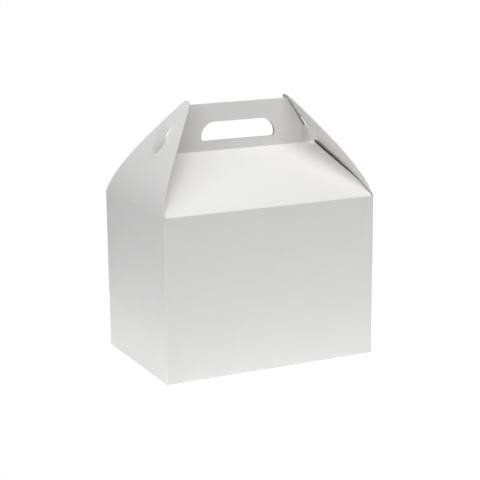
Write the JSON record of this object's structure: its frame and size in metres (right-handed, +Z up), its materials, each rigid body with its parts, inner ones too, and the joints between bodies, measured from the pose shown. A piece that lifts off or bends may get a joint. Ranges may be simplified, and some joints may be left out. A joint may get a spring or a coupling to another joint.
{
  "type": "gable box",
  "caption": "Folded paperboard box with a pitched top, a carrying handle with a hand hole, and end flaps that hook onto the handle.",
  "frame": {"origin": "middle of the underside, on the surface that the box stands on", "axes": "+X to the right across the wide front panel, -Y towards the front, +Z up through the handle"},
  "size_m": [0.229, 0.1516, 0.263],
  "materials": {
    "paperboard": "smooth white coated paperboard, matt to slightly satin"
  },
  "bodies": {
    "carton": {"carton": "paperboard"},
    "left_flap": {"left_end_flap": "paperboard"},
    "right_flap": {"right_end_flap": "paperboard"}
  },
  "joints": [
    {"name": "left_flap_hinge", "type": "hinge", "parent": "carton", "child": "left_flap", "pos_m": [-0.11422, 0, 0.1648], "axis": [0, -1, 0], "range_deg": [0, 130]},
    {"name": "right_flap_hinge", "type": "hinge", "parent": "carton", "child": "right_flap", "pos_m": [0.11422, 0, 0.1648], "axis": [0, 1, 0], "range_deg": [0, 130]}
  ]
}
